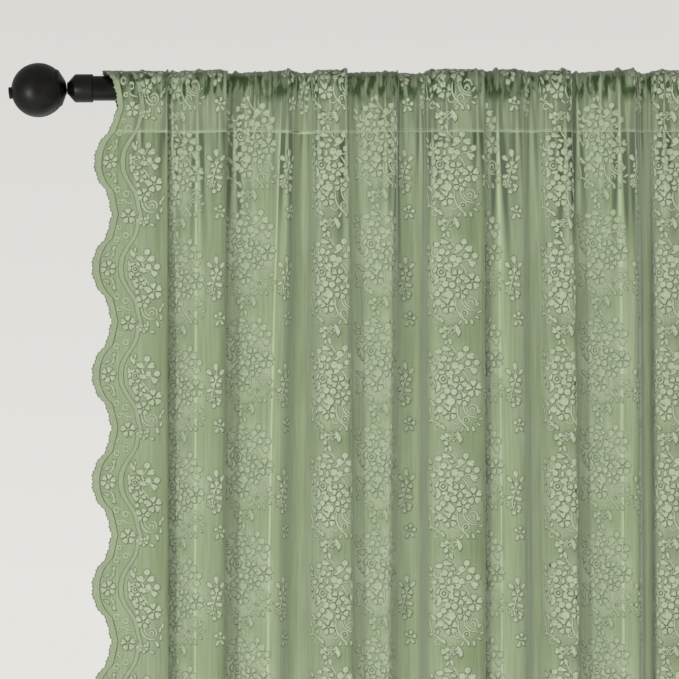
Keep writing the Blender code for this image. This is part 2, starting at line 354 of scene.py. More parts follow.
def cloth_mesh(scalloped):
    """The cloth as (points, faces, flat positions, attributes); a plain one guides the figures."""
    points, flats, folds, headed, pinch_shading = [], [], [], [], []
    for place, position, fallen in cloth_rows():
        height = -REST_RADIUS * math.cos(position) if place == "rod" else position
        inset = float(edge_inset(height)) if scalloped else 0.0
        inner = np.linspace(BORDER_STRIP, FLAT_WIDTH - BORDER_STRIP, INNER_COLUMNS + 1)[1:-1]
        start = inset + EDGE_FOLD if scalloped else 0.0
        left = start + (BORDER_STRIP - inset - EDGE_FOLD) * EDGE_SHARES
        across = np.concatenate([left, inner, FLAT_WIDTH - left[::-1]])
        if fallen < FINE_TO:
            across = np.insert(across, range(1, len(across)), (across[1:] + across[:-1]) / 2)
        row = cloth_row(place, position)
        points.append(np.stack([np.interp(across, ACROSS, row[:, axis]) for axis in range(3)], axis=1))
        flats.append(np.stack([across, np.full_like(across, -fallen)], axis=1))
        line = plan_line(fallen if place == "front" else 0.0, DEPTH_SCALE)
        corners = lengths_along(line)[::PLAN_STEPS]
        folds.append(np.interp(across, corners * FLAT_WIDTH / corners[-1], np.arange(len(corners))))
        rod_behind = smoothstep((fallen + 0.016) / 0.008) * (1.0 - smoothstep((fallen - 0.004) / 0.014))
        headed.append(np.full_like(across, rod_behind))
        # Painted shade down the flanks of each pinch and a painted highlight on its crest, kept for the net's
        # colour
        ridges = pinched(fallen)
        slope = np.abs(np.gradient(ridges, ACROSS))
        painted_pinch_tone = np.clip(ridges * 1000 / 2.0, 0.0, 1.0) - 1.6 * np.clip(slope / 0.6, 0.0, 1.0)
        pinch_shading.append(np.interp(across, ACROSS, painted_pinch_tone))
    values = {"paleness": near_bouquet(*np.vstack(flats).T), "fold": np.concatenate(folds)}
    values |= {"on rod": np.concatenate(headed), "pinch_shade_and_highlight": np.concatenate(pinch_shading)}
    return np.vstack(points), cloth_faces([len(row) for row in points]), np.vstack(flats), values


def cloth_object(name, scalloped):
    """The cloth as an object, with its flat positions as a UV map and its values as attributes."""
    points, faces, flats, values = cloth_mesh(scalloped)
    made = new_object(name, points, faces, flats, smooth=True)
    for label, value in values.items():
        layer = made.data.attributes.new(label, "FLOAT", "POINT")
        layer.data.foreach_set("value", value.astype(np.float32))
    return made


def linear(hex_colour):
    """A hex sRGB colour as linear RGBA."""
    channels = [int(hex_colour[i : i + 2], 16) / 255 for i in (0, 2, 4)]
    return (*[c / 12.92 if c <= 0.04045 else ((c + 0.055) / 1.055) ** 2.4 for c in channels], 1.0)


def add(tree, kind, inputs=None, **settings):
    """Adds a node. An input is given a socket to link, a value or a hex colour; settings are properties."""
    node = tree.nodes.new(kind)
    for name, value in settings.items():
        setattr(node, name, value)
    for place, value in (inputs or {}).items():
        if isinstance(value, bpy.types.NodeSocket):
            tree.links.new(value, node.inputs[place])
        elif node.inputs[place].type == "RGBA":
            node.inputs[place].default_value = linear(value)
        else:
            node.inputs[place].default_value = value
    return node


def worked(tree, operation, *values):
    """The result of a Math node on sockets and numbers."""
    return add(tree, "ShaderNodeMath", dict(enumerate(values)), operation=operation).outputs[0]


def moved_by(tree, operation, first, second, place=1):
    """The result of a Vector Math node; a Scale node takes its second value in the place "Scale"."""
    return add(tree, "ShaderNodeVectorMath", {0: first, place: second}, operation=operation).outputs[0]


def ranged(tree, value, start, end, low=0.0, high=1.0):
    """The value's range from start to end, clamped and mapped to low to high."""
    return add(tree, "ShaderNodeMapRange", {0: value, 1: start, 2: end, 3: low, 4: high}).outputs[0]


def noise(tree, place, scale, detail, roughness=0.5):
    """A soft random value from 0 to 1, the same at each run."""
    return add(tree, "ShaderNodeTexNoise", {0: place, 2: scale, 3: detail, 4: roughness}).outputs[0]


def stretched(tree, place, across, down):
    """The flat position, scaled apart across and down."""
    return add(tree, "ShaderNodeMapping", {0: place, 3: (across, down, 1.0)}).outputs[0]


def attribute(tree, name):
    """The value that the mesh holds under a name."""
    return add(tree, "ShaderNodeAttribute", attribute_name=name).outputs["Fac"]


def mixed(tree, share, first, second, blend="MIX"):
    """A colour between two, each a socket or a hex colour."""
    inputs = {0: share, 6: first, 7: second}
    return add(tree, "ShaderNodeMix", inputs, data_type="RGBA", blend_type=blend).outputs[2]


def new_material(name, **settings):
    """(material, tree, shader) of one Principled shader, whose inputs are given as Sheen_Weight=0.4."""
    made = bpy.data.materials.new(name)
    made.use_nodes = True
    shader = made.node_tree.nodes["Principled BSDF"]
    for label, value in settings.items():
        shader.inputs[label.replace("_", " ")].default_value = value
    return made, made.node_tree, shader


def see_through(tree, shader, colour, share):
    """Lets light come through thin cloth: a share of the surface is a Translucent shader of the colour."""
    through = add(tree, "ShaderNodeBsdfTranslucent", {0: colour})
    shares = {0: share, 1: shader.outputs[0], 2: through.outputs[0]}
    return add(tree, "ShaderNodeMixShader", shares).outputs[0]


# Painted highlights along the rims of the pleats, where edge-on cloth catches the light: corner of the fold
# table counted from 0, half width as a share of the step to the next corner, and strength
PAINTED_RIM_HIGHLIGHTS = (
    (6, 0.04, 0.5),
    (10.3, 0.08, 0.5),
    (15, 0.04, 0.4),
    (19, 0.05, 0.5),
    (23, 0.025, 0.4),
    (26, 0.032, 0.5),
    (31, 0.03, 0.5),
    (34, 0.05, 0.5),
    (39, 0.04, 0.5),
    (42, 0.08, 0.4),
)

# Threads of the net: pitch across and down
NET_PITCH = (0.0016, 0.0013)


def net_material():
    """Sage cotton net: matt yarn in upright wales, small soft holes and slow unevenness of the dye."""
    made, tree, shader = new_material(
        "sage lace net", Roughness=0.82, Sheen_Weight=0.4, Sheen_Roughness=0.4, Specular_IOR_Level=0.2
    )
    flat = add(tree, "ShaderNodeUVMap", uv_map="flat").outputs[0]
    flat_x, flat_y, _ = add(tree, "ShaderNodeSeparateXYZ", {0: flat}).outputs

    # The dyed yarn, brighter where the pale yarn of a bouquet runs through it
    slow = noise(tree, flat, 9.0, 2.0)
    slub = noise(tree, stretched(tree, flat, 430.0, 16.0), 1.0, 1.0)
    yarn = mixed(tree, slow, mixed(tree, slub, "7d896c", "9fab90"), "e0e7cc", "MULTIPLY")
    yarn = mixed(tree, worked(tree, "MULTIPLY", attribute(tree, "paleness"), 0.45), yarn, "a6b096")

    # Painted light: paler above the seam where the cloth is doubled, palest along the turned edge, and
    # painted highlights along the rims of the pleats
    level = worked(tree, "ADD", flat_y, ranged(tree, slow, 0.0, 1.0, -0.004, 0.004))
    doubling = ranged(tree, level, -0.0465, -0.0455, 0.0, 0.5)
    turned = ranged(tree, level, -0.0415, -0.0435, 0.0, 0.7)
    painted_doubled_light = worked(tree, "MULTIPLY", worked(tree, "MULTIPLY_ADD", doubling, turned, doubling), slow)
    fold = attribute(tree, "fold")
    painted_rim_highlight = 0.0
    for number, half, strength in PAINTED_RIM_HIGHLIGHTS:
        off = worked(tree, "ABSOLUTE", worked(tree, "SUBTRACT", fold, number))
        painted_rim_highlight = worked(tree, "MAXIMUM", ranged(tree, off, half * 0.4, half, strength, 0.0), painted_rim_highlight)

    # Pinched cloth: painted shade down the flanks of a crease, and a painted highlight on its crest that
    # joins the doubled cloth's and the rims' painted light
    pinch_shade_and_highlight = attribute(tree, "pinch_shade_and_highlight")
    yarn = mixed(tree, ranged(tree, pinch_shade_and_highlight, 0.0, -0.5, 0.0, 0.9), yarn, "45523a")
    painted_highlights = worked(tree, "MULTIPLY", pinch_shade_and_highlight, slub)
    painted_highlights = worked(tree, "MAXIMUM", painted_highlights, worked(tree, "MAXIMUM", painted_doubled_light, painted_rim_highlight))
    yarn = mixed(tree, painted_highlights, yarn, "bac5a7")

    # Where the cloth is pulled tight over the rod it opens in patches, and a deeper green is painted in them
    # as the shade of the dark rod behind
    patches = ranged(tree, noise(tree, stretched(tree, flat, 150.0, 45.0), 1.0, 3.0), 0.44, 0.58, 0.0, 0.6)
    opened = worked(tree, "MULTIPLY", patches, attribute(tree, "on rod"))
    painted_rod_shade = mixed(tree, ranged(tree, opened, 0.0, 0.6, 0.0, 0.85), yarn, "4f6f3a")
    tree.links.new(painted_rod_shade, shader.inputs["Base Color"])

    # Small holes between the threads
    threads = [
        worked(tree, "SINE", worked(tree, "MULTIPLY", place, 2 * math.pi / pitch))
        for place, pitch in zip((flat_x, flat_y), NET_PITCH)
    ]
    woven = ranged(tree, worked(tree, "MULTIPLY", *threads), 0.1, 0.55, 1.0, 0.84)
    solid = worked(tree, "MULTIPLY", woven, worked(tree, "SUBTRACT", 1.0, opened))
    cloth = see_through(tree, shader, yarn, 0.15)
    clear = add(tree, "ShaderNodeBsdfTransparent").outputs[0]
    seen = add(tree, "ShaderNodeMixShader", {0: solid, 1: clear, 2: cloth}).outputs[0]
    tree.links.new(seen, tree.nodes["Material Output"].inputs[0])
    return made


net = cloth_object("lace_net", True)
net.data.materials.append(net_material())
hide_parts("lace_panel")
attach(net, "root")

# ---- woven bouquets ------------------------------------------------------------------------------------
# A bouquet of roses, flowers, berries, leaves and scrolls, woven solid in brighter mercerised yarn. It
# repeats over the net in columns, every second one half a repeat lower, and stands a little proud of it.

# Shapes of the woven figures, in mm on the flat cloth. A fill is ("fill", outline, half thickness); a ridge
# is ("ridge", path, width, thickness); a band is ("band", one edge, the other edge, thickness).

LEAF = ((0.0, 0.0), (0.28, 0.38), (0.72, 0.5), (0.94, 0.16), (0.94, -0.16), (0.72, -0.5), (0.28, -0.38))
PETAL = (
    (0.0, 0.0),
    (0.34, 0.34),
    (0.76, 0.52),
    (1.03, 0.28),
    (0.86, 0.0),
    (1.03, -0.28),
    (0.76, -0.52),
    (0.34, -0.34),
)


def leaf(x, y, angle, length, width, thick=0.45, outline=LEAF):
    """A pointed oval from its foot at (x, y) along `angle` in degrees."""
    along, across = np.array(outline).T * np.array([[length], [width]])
    turn = math.radians(angle)
    points_x = x + along * math.cos(turn) - across * math.sin(turn)
    points_y = y + along * math.sin(turn) + across * math.cos(turn)
    return [("fill", np.stack([points_x, points_y], axis=1), thick)]


def petal(x, y, angle, length, width, thick=0.5):
    """A petal with a broad, notched end."""
    return leaf(x, y, angle, length, width, thick, PETAL)


def berry(x, y, radius, thick=0.5):
    """A round berry or bud."""
    count = 7 if radius > 2.4 else 6
    turns = np.arange(count) * 2 * math.pi / count
    return [("fill", np.stack([x + radius * np.cos(turns), y + radius * np.sin(turns)], axis=1), thick)]


def stem(points, width):
    """A woven stem or scroll through the points, which tapers at its two ends."""
    return [("ridge", curve_through(np.array(points, float), 2), width, 0.4)]


def arc(x, y, radius, start, end, width, thick=0.4):
    """A curl about (x, y), from the angle `start` to `end` in degrees."""
    turns = np.radians(np.linspace(start, end, max(4, int(abs(end - start) / 40) + 1)))
    path = np.stack([x + radius * np.cos(turns), y + radius * np.sin(turns)], axis=1)
    return [("ridge", path, width, thick)]


def flower(x, y, radius, count=5, turn=90.0):
    """A flower of blunt petals about a small round middle."""
    made = berry(x, y, radius * 0.15, 0.3)
    for number in range(count):
        angle = turn + 360.0 / count * number
        step = math.radians(angle)
        foot = (x + radius * 0.2 * math.cos(step), y + radius * 0.2 * math.sin(step))
        made += petal(*foot, angle, radius * 0.84, radius * 4.0 / count, 0.55)
    return made


def rose(x, y, radius, turn=0.0):
    """A rose from above: a small heart, a curl round it and a ring of broad petals."""
    made = berry(x, y, radius * 0.16)
    made += arc(x, y, radius * 0.38, turn, turn + 290.0, radius * 0.2)
    for number in range(6):
        angle = turn + 25.0 + 60.0 * number
        step = math.radians(angle)
        foot = (x + radius * 0.7 * math.cos(step), y + radius * 0.7 * math.sin(step))
        half = 0.4 * radius
        start = (foot[0] + half * math.sin(step), foot[1] - half * math.cos(step))
        made += leaf(*start, angle + 84.0, radius * 0.82, radius * 0.46, 0.55)
    return made


def berries(x, y, radius, spots):
    """Round berries at the given steps from (x, y), each on a short stalk."""
    made = []
    for dx, dy in spots:
        made += berry(x + dx, y + dy, radius)
        made += stem([(x, y), (x + dx * 0.6, y + dy * 0.6)], 0.9)
    return made


# Every shape has an outline of this width in mm, painted darker as shade round its relief and darkest on the
# lower right as a painted shadow. The tone reaches 1 at TONE_REACH from the outline, and a shape's foot
# stands
# FOOT over the cloth.
OUTLINE = 0.7
TONE_REACH = 3.0
FOOT = 0.05
PAINTED_SHADOW_SIDE = np.array([0.64, -0.77])
BAND_SECTION = ((0.0, 0.0), (0.12, 1.0), (0.88, 1.0), (1.0, 0.0))
BAND_TONES = (0.0, 0.2, 0.2, 0.0)


def filled(outline, thick):
    """A low cushion within an outline: (points, faces, tones)."""
    count = len(outline)
    onward = np.roll(outline, -1, axis=0)
    area = (outline[:, 0] * onward[:, 1] - outline[:, 1] * onward[:, 0]).sum() / 2
    middle = outline.mean(axis=0)
    radius = math.sqrt(abs(area) / math.pi)
    outline = outline if area > 0.0 else outline[::-1]
    outline = middle + (outline - middle) * (1.0 + OUTLINE / radius)
    outward = (outline - middle) / np.linalg.norm(outline - middle, axis=1)[:, None]
    points = [(*point, FOOT) for point in outline] + [(*middle, FOOT + 1.5 * thick)]
    # Painted shade on the outline, darkest on the shadow side, and a paler painted top
    tones = [*(0.02 - 0.16 * np.clip(outward @ PAINTED_SHADOW_SIDE, 0.0, 1.0)), (radius + OUTLINE) / TONE_REACH]
    faces = [(number, (number + 1) % count, count) for number in range(count)]
    return points, [*faces, tuple(range(count - 1, -1, -1))], tones


def run_of_sides(count, sides):
    """The faces that join `count` sections of `sides` points each, one to the next."""
    corners = [(side, (side + 1) % sides) for side in range(sides)]
    starts = range(0, sides * (count - 1), sides)
    return [(at + one, at + two, at + sides + two, at + sides + one) for at in starts for one, two in corners]


def ridged(path, width, thick):
    """A ridge of three sides along a path, thinner at its two ends: (points, faces, tones)."""
    heading = np.gradient(path, axis=0)
    heading /= np.linalg.norm(heading, axis=1)[:, None]
    aside = np.stack([heading[:, 1], -heading[:, 0]], axis=1)
    half = np.full(len(path), 0.5 * width + OUTLINE * 0.6)
    half[[0, -1]] *= 0.45
    points, tones = [], []
    for left, middle, right in zip(path - aside * half[:, None], path, path + aside * half[:, None]):
        points += [(*left, FOOT), (*middle, FOOT + thick), (*right, FOOT)]
    # Painted shade at the ridge's two feet, darker on the shadow side, and a paler painted top
    for toward_shadow in aside @ PAINTED_SHADOW_SIDE:
        tones += [0.02 - 0.3 * max(-toward_shadow, 0.0), 0.9, 0.02 - 0.3 * max(toward_shadow, 0.0)]
    last = 3 * (len(path) - 1)
    ends = [(0, 2, 1), (last, last + 1, last + 2)]
    return points, ends + run_of_sides(len(path), 3), tones


def banded(near, far, thick):
    """A flat-topped band between two edges of the same number of points: (points, faces, tones)."""
    points = []
    for one, other in zip(near, far):
        points += [(*mix(one, other, share), FOOT + thick * lift) for share, lift in BAND_SECTION]
    return points, run_of_sides(len(near), 4), [*BAND_TONES] * len(near)


def figure(shapes):
    """Low mounds for all the shapes: (points, faces) in metres and a tone for each point.

    The cloth's face is at height 0. The tone is 0 on an outline, painted shade round the mound, and 1 on a
    top, painted palest as lit relief.
    """
    makers = {"fill": filled, "ridge": ridged, "band": banded}
    points, faces, tones = [], [], []
    for kind, *sizes in shapes:
        new_points, new_faces, new_tones = makers[kind](*sizes)
        faces += [tuple(len(points) + place for place in face) for face in new_faces]
        points += new_points
        tones += new_tones
    return np.array(points) / 1000, faces, tones


def bouquet_shapes():
    """One bouquet about its middle."""
    made = leaf(-9.8, 42, 68, 6, 3.2) + leaf(-2.6, 41.5, 108, 8.5, 3.8) + petal(-2.2, 37, 168, 11, 5)
    made += stem([(-3, 43), (-0.6, 38.5), (2.6, 34)], 1.2) + leaf(-6, 34.5, -25, 7, 3.6)
    made += berry(6.3, 32.4, 3.7) + berry(12, 38.4, 3.5) + petal(11.6, 31.6, -5, 9.2, 7.2)
    made += stem([(12, 36), (10, 31.5), (4.5, 27.5)], 1.2) + berry(14, 24, 3.3) + berry(23, 24.2, 3.4)
    made += petal(15.4, 19.4, -35, 9.5, 7) + berry(6.6, 19.8, 3.5)
    made += stem([(22, 21), (14, 19.5), (9, 18)], 1.2)
    made += stem([(8, 16.5), (11.5, 11.8), (14.8, 5.4)], 1.4) + leaf(-0.6, 12.4, 32, 8.4, 4.2)
    made += leaf(-21.5, 35.4, 2, 9.2, 6) + arc(-18.4, 26.8, 3.7, 130, 400, 2.6) + berry(-10.9, 28.4, 3.6)
    made += berry(-14, 20.8, 3.4) + leaf(-27.5, 19.2, -6, 9, 5.4) + leaf(-29, 36, -52, 8, 3.6)
    made += leaf(-30, 28.5, -38, 6.5, 2.8) + leaf(-28.5, 24.6, 12, 5.5, 2.4)
    made += berry(0.6, 21.4, 4) + leaf(-7.6, 24.6, 44, 7, 4.6) + leaf(-6.4, 23.6, -92, 7.4, 3.8)
    made += leaf(-5.8, 16.4, -40, 6.6, 4.2) + leaf(0.6, 26.6, 24, 6.6, 3.4)
    made += leaf(-0.2, 16.6, -10, 5.4, 3.4)
    made += rose(-11.6, 7.4, 9.6, 75) + leaf(-5.2, 13.2, -62, 6.4, 3.6) + leaf(-2.6, 7, -98, 6.6, 3.4)
    made += leaf(-28, 15, -62, 7, 3) + leaf(-26.8, 8.6, -72, 7.4, 2.8) + leaf(-24, 2.5, -60, 6, 2.6)
    made += leaf(-19.4, -6, 60, 9.4, 5)
    made += flower(5.2, 3.4, 7.2, 5, 60) + flower(19.9, -2, 8.6, 5, 95) + flower(8.4, -13, 7, 5, 75)
    made += flower(-5.4, -27, 7.6, 5, 100)
    made += berry(-7.8, -4.6, 3.6) + berry(-0.7, -5.6, 3.6) + berry(-12.2, -9.9, 3.3)
    made += berry(-5.4, -10.4, 2)
    made += berry(-3.9, -15.6, 4.6) + berry(-16.6, -14.4, 3.4) + berry(-15.4, -23.4, 3.8)
    made += leaf(-11, -13, -50, 7, 3)
    made += stem([(-1.4, -9.4), (-8, -14), (-14, -18)], 1.2)
    made += stem([(-11.6, -17.6), (-9, -20.6), (-7, -23)], 1.3)
    made += leaf(-19.6, -20.6, 138, 7.4, 4) + leaf(-22, -16.4, 160, 6.4, 3.2)
    made += leaf(-20.4, -29.4, 84, 6.4, 3.2)
    made += leaf(-20, -35.4, 66, 7, 3.4) + leaf(-27.4, -21, -84, 7.4, 3)
    made += stem([(-28.8, -19), (-25.8, -28), (-25, -34), (-17.4, -37.2), (-12.6, -43)], 1.4)
    made += arc(-18.3, -41.8, 3.1, 20, 340, 1.5, 0.45) + leaf(-13.8, -38.2, -60, 7.4, 3.4)
    made += berry(-26.6, -34.8, 2)
    made += stem([(3.4, -19.6), (2.6, -27), (5.4, -34), (9, -38.4), (13, -42)], 1.7)
    made += arc(2, -35.2, 3.4, 160, 350, 1.5) + arc(11.4, -34, 3.4, 235, -40, 1.6)
    made += berry(11.2, -33.8, 1.3)
    made += stem([(8.6, -19.8), (10.6, -25.8), (15, -30), (22.6, -31.8)], 1.6)
    made += stem([(11.4, -20.4), (13.2, -24.8), (16.6, -28), (22, -29.2)], 1.3)
    made += arc(18.6, -23.2, 5.4, 140, -60, 1.5) + arc(18.2, -24, 2.5, 210, -80, 1.4)
    made += leaf(23.8, -28, 62, 6, 2.4) + leaf(24.4, -34, 24, 6, 2.4) + leaf(21.8, -37, -30, 6, 2.4)
    made += leaf(12.4, -40, -75, 6.4, 3.2) + leaf(18, -40, -72, 6.4, 3.2)
    made += leaf(9, -40.4, -120, 7, 2.6)
    made += rose(-2, -51.2, 4.8, 10) + leaf(1.6, -45.2, -66, 13, 5.2, 0.5)
    made += leaf(4.4, -49.6, -84, 9, 2.6)
    made += berry(-8.6, -49.6, 2.6) + berry(-12.8, -52.4, 2.7) + berry(-9.4, -57.8, 2.7)
    made += leaf(-15, -48.4, -40, 5, 2.6)
    made += stem([(-5, -55.4), (-8.4, -54.4), (-11.4, -51)], 1.2)
    return made


def spray_shapes():
    """The tall sprig between two bouquets."""
    made = leaf(1.5, 13, 100, 9.5, 5.4) + leaf(-3, 9.5, 135, 8.5, 5) + leaf(4.5, 9.5, 50, 8, 4.6)
    made += stem([(1.5, 14), (1, 6), (-1.5, -3), (-3.5, -11), (-2, -18)], 1.2)
    made += flower(0.8, 3.2, 6.4, 5, 85) + leaf(-2.5, -4.5, 200, 7.5, 4.2) + leaf(-1, -6, -15, 8, 4.4)
    made += rose(-4.5, -13, 5, 50) + leaf(1, -13.5, -35, 7, 4)
    made += berry(5.4, -7.5, 2.4) + berry(-1.4, -21.4, 2.5) + berry(3.4, -19.4, 2.3)
    return made


def bud_shapes():
    """The small sprig between two tall ones."""
    made = berries(0, 0, 2.4, [(-3.6, 3), (1, 5.2), (5, 1.2)])
    made += leaf(-0.5, -1, -115, 7.5, 3.8) + leaf(0.5, -1, -50, 7, 3.6)
    return made


def store(tree, shape, name, value, kind, domain):
    """The shape with a value stored under a name."""
    inputs = {0: shape, "Name": name, "Value": value}
    return add(tree, "GeometryNodeStoreNamedAttribute", inputs, data_type=kind, domain=domain).outputs[0]


def stored(tree, name, kind):
    """The value stored under a name."""
    return add(tree, "GeometryNodeInputNamedAttribute", {"Name": name}, data_type=kind).outputs[0]


SLACK_SEED = 7


def lay_tree():
    """Nodes that repeat a flat figure in columns and rows and lay every point of it on the hanging cloth."""
    tree = bpy.data.node_groups.new("lay on cloth", "GeometryNodeTree")
    face = tree.interface
    face.new_socket("Geometry", in_out="OUTPUT", socket_type="NodeSocketGeometry")
    for label, kind in (
        ("Figure", "NodeSocketGeometry"),
        ("Cloth", "NodeSocketObject"),
        ("Columns", "NodeSocketInt"),
        ("Rows", "NodeSocketInt"),
        ("Column pitch", "NodeSocketFloat"),
        ("Row pitch", "NodeSocketFloat"),
        ("First", "NodeSocketVector"),
        ("Slack", "NodeSocketFloat"),
        ("Material", "NodeSocketMaterial"),
    ):
        face.new_socket(label, in_out="INPUT", socket_type=kind)
    given = tree.nodes.new("NodeGroupInput").outputs

    # One point for each copy, row by row, a little off its true place on the flat cloth
    number = add(tree, "GeometryNodeInputIndex").outputs[0]
    count = worked(tree, "MULTIPLY", given["Columns"], given["Rows"])
    column = worked(tree, "MODULO", number, given["Columns"])
    row = worked(tree, "FLOOR", worked(tree, "DIVIDE", number, given["Columns"]))
    across = worked(tree, "MULTIPLY", column, given["Column pitch"])
    down = worked(tree, "MULTIPLY", row, given["Row pitch"])
    place = add(tree, "ShaderNodeCombineXYZ", {0: across, 1: down}).outputs[0]
    place = moved_by(tree, "ADD", place, given["First"])
    ends = {0: (-1.0, -1.0, 0.0), 1: (1.0, 1.0, 0.0), "Seed": SLACK_SEED}
    slack = add(tree, "FunctionNodeRandomValue", ends, data_type="FLOAT_VECTOR").outputs[0]
    place = moved_by(tree, "ADD", place, moved_by(tree, "SCALE", slack, given["Slack"], "Scale"))
    spots = add(tree, "GeometryNodePoints", {"Count": count, "Position": place}).outputs[0]
    copied = {"Points": spots, "Instance": given["Figure"]}
    copies = add(tree, "GeometryNodeInstanceOnPoints", copied).outputs[0]
    shape = add(tree, "GeometryNodeRealizeInstances", {0: copies}).outputs[0]

    # Every point goes to the hanging cloth at its flat position, and stands off it by its own height
    flat = add(tree, "GeometryNodeInputPosition").outputs[0]
    kept = store(tree, shape, "flat", flat, "FLOAT2", "CORNER")
    cloth = add(tree, "GeometryNodeObjectInfo", {"Object": given["Cloth"]}).outputs["Geometry"]
    chart = stored(tree, "flat", "FLOAT_VECTOR")
    found = []
    for field in ("GeometryNodeInputPosition", "GeometryNodeInputNormal"):
        value = add(tree, field).outputs[0]
        asked = {"Mesh": cloth, "Value": value, "Source UV Map": chart, "Sample UV": flat}
        found.append(add(tree, "GeometryNodeSampleUVSurface", asked, data_type="FLOAT_VECTOR").outputs)
    height = add(tree, "ShaderNodeSeparateXYZ", {0: flat}).outputs[2]
    facing = moved_by(tree, "NORMALIZE", found[1][0], (0.0, 0.0, 0.0))
    point = moved_by(tree, "ADD", found[0][0], moved_by(tree, "SCALE", facing, height, "Scale"))

    # What falls past the cloth's edge is cut away
    missing = add(tree, "FunctionNodeBooleanMath", {0: found[0]["Is Valid"]}, operation="NOT").outputs[0]
    held = store(tree, kept, "off cloth", missing, "BOOLEAN", "POINT")
    moved = add(tree, "GeometryNodeSetPosition", {0: held, "Position": point}).outputs[0]
    lost = stored(tree, "off cloth", "BOOLEAN")
    trimmed = add(tree, "GeometryNodeDeleteGeometry", {0: moved, 1: lost}, domain="POINT").outputs[0]
    whole = add(tree, "GeometryNodeRealizeInstances", {0: trimmed}).outputs[0]
    made = add(tree, "GeometryNodeSetMaterial", {0: whole, "Material": given["Material"]}).outputs[0]
    tree.links.new(made, tree.nodes.new("NodeGroupOutput").inputs[0])
    return tree


LAY_ON_CLOTH = lay_tree()
guide = cloth_object("guide", False)


def laid(name, shapes, columns, rows, pitch, first, surface, slack=0.0):
    """Repeats a flat figure from `first`, its first copy's flat place, and lays it on the cloth."""
    points, faces, tones = figure(shapes)
    flat = new_object(name + "_flat", points, faces)
    flat.data.attributes.new("tone", "FLOAT", "POINT").data.foreach_set("value", tones)
    nodes = flat.modifiers.new("lay", "NODES")
    nodes.node_group = LAY_ON_CLOTH
    given = {
        "Cloth": guide,
        "Columns": columns,
        "Rows": rows,
        "Column pitch": pitch[0],
        "Row pitch": -pitch[1],
        "First": (*first, 0.0),
        "Slack": slack,
        "Material": surface,
    }
    for socket in LAY_ON_CLOTH.interface.items_tree:
        if socket.name in given:
            nodes[socket.identifier] = given[socket.name]
    bpy.context.view_layer.update()
    made_mesh = bpy.data.meshes.new_from_object(flat.evaluated_get(bpy.context.evaluated_depsgraph_get()))
    made = bpy.data.objects.new(name, made_mesh)
    bpy.context.scene.collection.objects.link(made)
    bpy.data.objects.remove(flat)
    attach(made, "root")
    return made


def figure_material(name, outline, foot, top):
    """Mercerised cotton yarn laid close: paler and silkier than the net, with the loops' fine grain."""
    made, tree, shader = new_material(
        name, Roughness=0.6, Sheen_Weight=0.2, Sheen_Roughness=0.4, Specular_IOR_Level=0.3
    )
    place = add(tree, "ShaderNodeTexCoord").outputs["Object"]
    grain, slow = noise(tree, place, 650.0, 2.0), noise(tree, place, 30.0, 2.0)
    # Painted light: the tone paints shade on each mound's outline and a paler, lit top
    tone = attribute(tree, "tone")
    colour = mixed(tree, ranged(tree, tone, 0.16, 0.5), foot, top)
    colour = mixed(tree, ranged(tree, tone, 0.09, 0.2), outline, colour)
    colour = mixed(tree, grain, colour, "c8cdbf", "MULTIPLY")
    colour = mixed(tree, slow, colour, "e6ebdc", "MULTIPLY")
    tree.links.new(colour, shader.inputs["Base Color"])
    tree.links.new(see_through(tree, shader, colour, 0.12), tree.nodes["Material Output"].inputs[0])
    return made


figure_yarn = figure_material("sage woven figure", "56624a", "a9b39b", "c6cdba")
# A dimmer copy with softer outlines is painted shade on the first column, the half-drop columns and the
# pocket's sprays
shaded_figure_yarn = figure_material("sage woven figure, painted shade copy", "76836a", "a7b199", "bec7b1")

# Repeat of the sprigs, which stand twice in each repeat of the bouquets, and how far a copy strays from its
# place
SPRIG_REPEAT = (REPEAT_ACROSS / 2, REPEAT_DOWN)
REPEAT = (REPEAT_ACROSS, REPEAT_DOWN)
STRAY = 0.0006
cloth_pieces = [
    laid("bouquets_first", bouquet_shapes(), 1, 21, REPEAT, FIRST_BOUQUET, shaded_figure_yarn, STRAY),
    laid("bouquets_full", bouquet_shapes(), 4, 21, REPEAT, SECOND_BOUQUET, figure_yarn, STRAY),
    laid("bouquets_half_drop", bouquet_shapes(), 5, 20, REPEAT, HALF_DROP, shaded_figure_yarn, STRAY),
    laid("sprays", spray_shapes(), 10, 20, SPRIG_REPEAT, (0.186, 0.0240), figure_yarn, STRAY),
    laid("buds", bud_shapes(), 10, 20, SPRIG_REPEAT, (0.190, -0.0180), figure_yarn, STRAY),
    laid("pocket_sprays", spray_shapes(), 11, 1, SPRIG_REPEAT, (0.095, -0.0060), shaded_figure_yarn, 0.0040),
]

# ---- scalloped borders ---------------------------------------------------------------------------------
# Both side edges are woven with a close band that follows the scallops, a second band inside it, and
# between the two an open strip with flowers, leaves and rings. They are one with the cloth and stand as
# proud as the bouquets.

# Flat distance of the inner band's outer side from the lobes' outermost line, at heights from a lobe's
# middle, in mm
INNER_HEIGHTS = (0, 10, 19, 27, 33, 40, 48, 55)
INNER_BAND = (27.4, 28.6, 33.2, 38.8, 42.4, 44.6, 46.0, 48.6)


def strip(near, width, heights):
    """A close-woven band of the given width beside an edge, at heights in mm."""
    return [("band", np.stack([near, heights], 1), np.stack([near + width, heights], 1), 0.4)]


